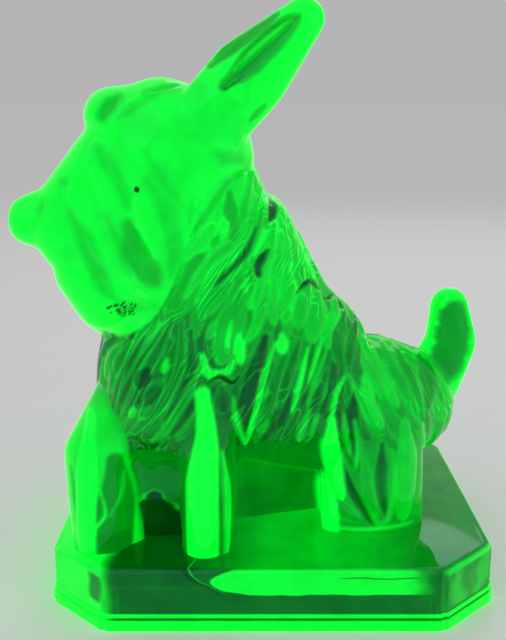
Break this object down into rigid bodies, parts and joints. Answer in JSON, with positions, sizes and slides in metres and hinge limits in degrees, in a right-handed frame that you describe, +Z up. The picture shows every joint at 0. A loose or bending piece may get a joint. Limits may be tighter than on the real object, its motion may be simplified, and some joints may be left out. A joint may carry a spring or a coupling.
{
  "type": "glass terrier figure",
  "caption": "Pressed-glass terrier standing on a clipped-corner plinth, hollow from below, glowing green under ultraviolet light; a shelf ornament or bookend.",
  "frame": {"origin": "on the resting plane, under the middle of the whole figure's box", "axes": "+Z up, the dog's nose towards -X, its left side and the plinth's front face towards -Y"},
  "size_m": [0.1352, 0.112, 0.1648],
  "materials": {
    "uranium_glass": "fire-polished pressed glass, yellow-green, glowing green under ultraviolet light"
  },
  "bodies": {
    "root": {"plinth": "uranium_glass", "torso": "uranium_glass", "head": "uranium_glass", "beard": "uranium_glass", "left_ear": "uranium_glass", "right_ear": "uranium_glass", "left_front_leg": "uranium_glass", "right_front_leg": "uranium_glass", "left_hind_leg": "uranium_glass", "right_hind_leg": "uranium_glass", "tail": "uranium_glass"}
  },
  "joints": []
}
